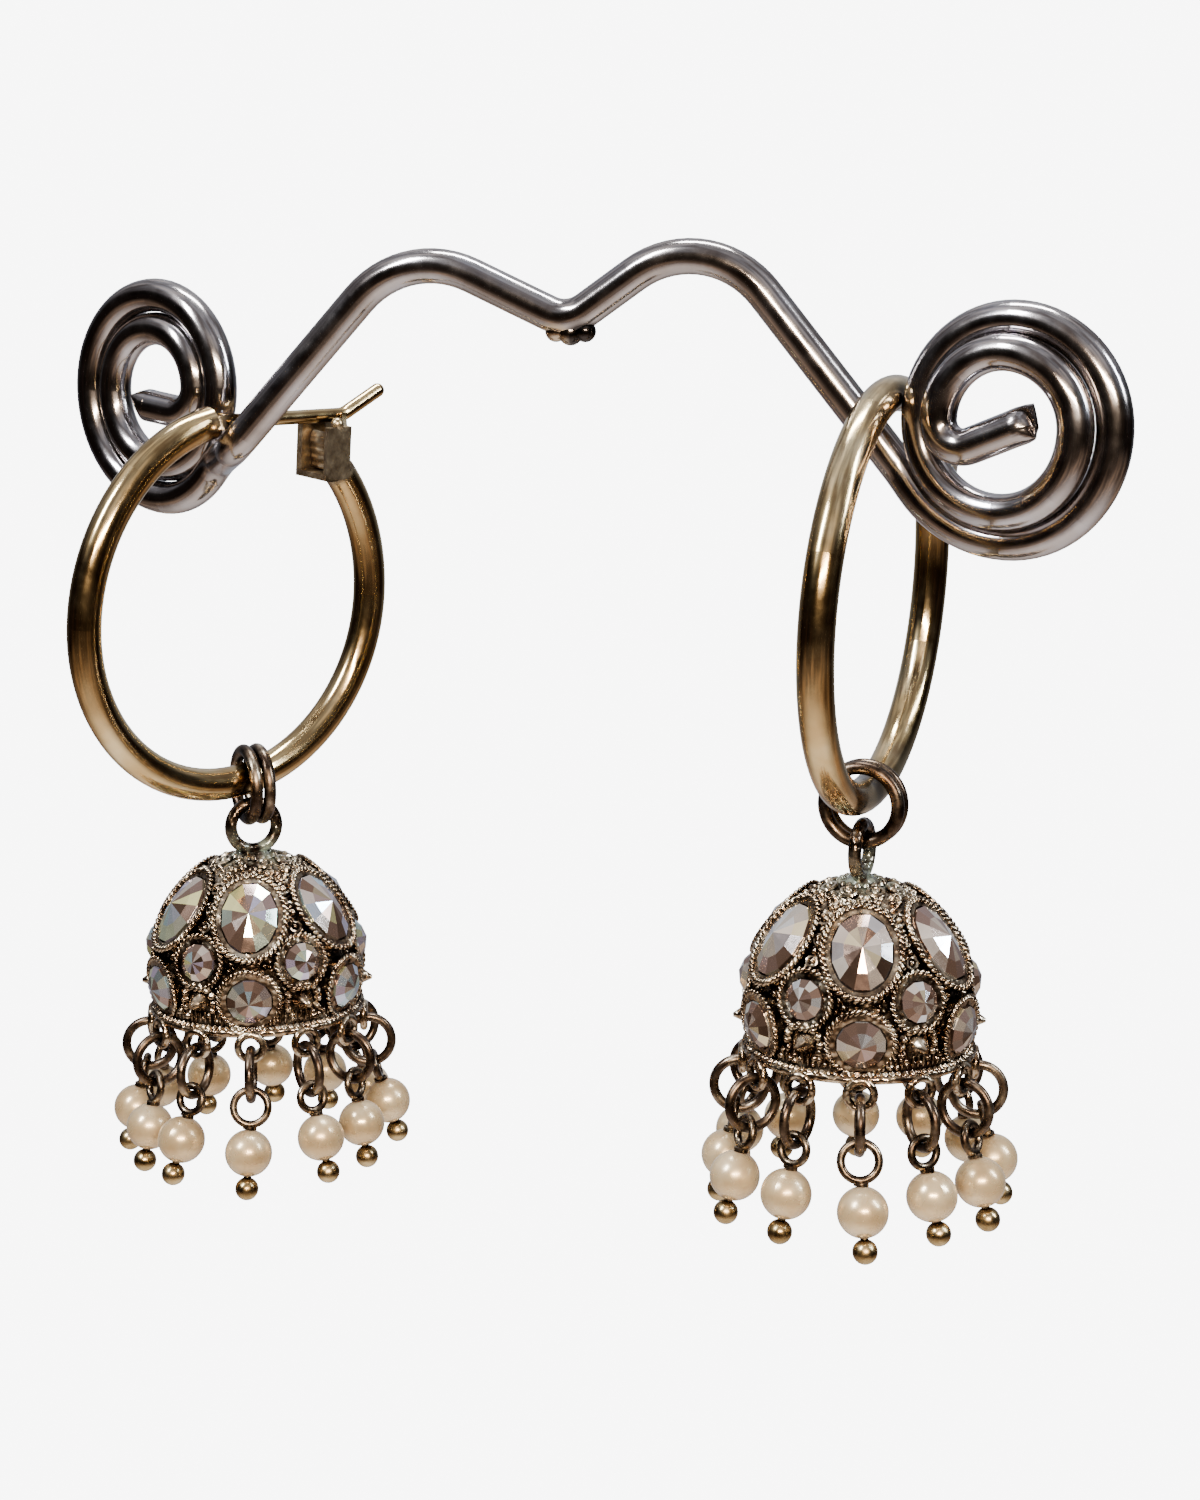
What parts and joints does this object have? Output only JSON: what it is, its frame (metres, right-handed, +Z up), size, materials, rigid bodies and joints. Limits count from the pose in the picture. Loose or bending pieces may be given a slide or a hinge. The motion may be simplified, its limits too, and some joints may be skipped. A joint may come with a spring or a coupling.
{
  "type": "pair of jhumka earrings on a wire display stand",
  "caption": "Click-top hoop earrings with stone-set bells and pearl drops, both of the pair hanging on a bent steel display wire with a spiral at each end.",
  "frame": {"origin": "underside of the weld under the bar's middle dip, where the stand's post holds it", "axes": "+X along the bar, from the left earring to the right one; +Z up; +Y to the back"},
  "size_m": [0.0698, 0.028, 0.0601],
  "materials": {
    "steel_wire": "polished round steel wire",
    "gold": "polished yellow gold plate",
    "antique_rings": "darkened, burnished on the high places",
    "antique_bell": "antiqued, dark in the recesses, burnished on the high places",
    "antique_pins": "antiqued, worn bright",
    "crystal": "faceted champagne crystal, foiled behind",
    "pearl": "cream pearl with a soft lustre"
  },
  "bodies": {
    "stand_and_hoops": {"display_wire": "steel_wire", "left_hoop": "gold", "left_hinge_pin": "gold", "right_hoop": "gold", "right_hinge_pin": "gold", "right_ear_post": "gold"},
    "left_post_lever": {"left_ear_post": "gold"},
    "left_rings": {"left_jump_ring_front": "antique_rings", "left_jump_ring_back": "antique_rings"},
    "left_drop": {"left_bell": "antique_bell", "left_oval_stone_1": "crystal", "left_oval_stone_2": "crystal", "left_oval_stone_3": "crystal", "left_oval_stone_4": "crystal", "left_oval_stone_5": "crystal", "left_oval_stone_6": "crystal", "left_round_stone_1": "crystal", "left_round_stone_2": "crystal", "left_round_stone_3": "crystal", "left_round_stone_4": "crystal", "left_round_stone_5": "crystal", "left_round_stone_6": "crystal", "left_rim_stone_1": "crystal", "left_rim_stone_2": "crystal", "left_rim_stone_3": "crystal", "left_rim_stone_4": "crystal", "left_rim_stone_5": "crystal", "left_rim_stone_6": "crystal", "left_drop_rings": "antique_rings", "left_head_pins": "antique_pins", "left_pearls": "pearl"},
    "right_rings": {"right_jump_ring_front": "antique_rings", "right_jump_ring_back": "antique_rings"},
    "right_drop": {"right_bell": "antique_bell", "right_oval_stone_1": "crystal", "right_oval_stone_2": "crystal", "right_oval_stone_3": "crystal", "right_oval_stone_4": "crystal", "right_oval_stone_5": "crystal", "right_oval_stone_6": "crystal", "right_round_stone_1": "crystal", "right_round_stone_2": "crystal", "right_round_stone_3": "crystal", "right_round_stone_4": "crystal", "right_round_stone_5": "crystal", "right_round_stone_6": "crystal", "right_rim_stone_1": "crystal", "right_rim_stone_2": "crystal", "right_rim_stone_3": "crystal", "right_rim_stone_4": "crystal", "right_rim_stone_5": "crystal", "right_rim_stone_6": "crystal", "right_drop_rings": "antique_rings", "right_head_pins": "antique_pins", "right_pearls": "pearl"}
  },
  "joints": [
    {"name": "left_post_hinge", "type": "hinge", "parent": "stand_and_hoops", "child": "left_post_lever", "pos_m": [-0.02271, 0.00102, -0.00494], "axis": [0.8871, -0.453, -0.0889], "range_deg": [0, 60]},
    {"name": "left_rings_swing", "type": "hinge", "parent": "stand_and_hoops", "child": "left_rings", "pos_m": [-0.02319, 0.00464, -0.02812], "axis": [0.4616, 0.8699, 0.174], "range_deg": [-20, 20]},
    {"name": "left_bell_swing", "type": "hinge", "parent": "left_rings", "child": "left_drop", "pos_m": [-0.02319, 0.00464, -0.03145], "axis": [0.6691, -0.7431, 0], "range_deg": [-20, 20]},
    {"name": "right_rings_swing", "type": "hinge", "parent": "stand_and_hoops", "child": "right_rings", "pos_m": [0.01795, 0.00026, -0.02603], "axis": [0.1, 0.995, 0], "range_deg": [-20, 20]},
    {"name": "right_bell_swing", "type": "hinge", "parent": "right_rings", "child": "right_drop", "pos_m": [0.01795, 0.00026, -0.02936], "axis": [0.995, -0.1, 0], "range_deg": [-20, 20]}
  ]
}
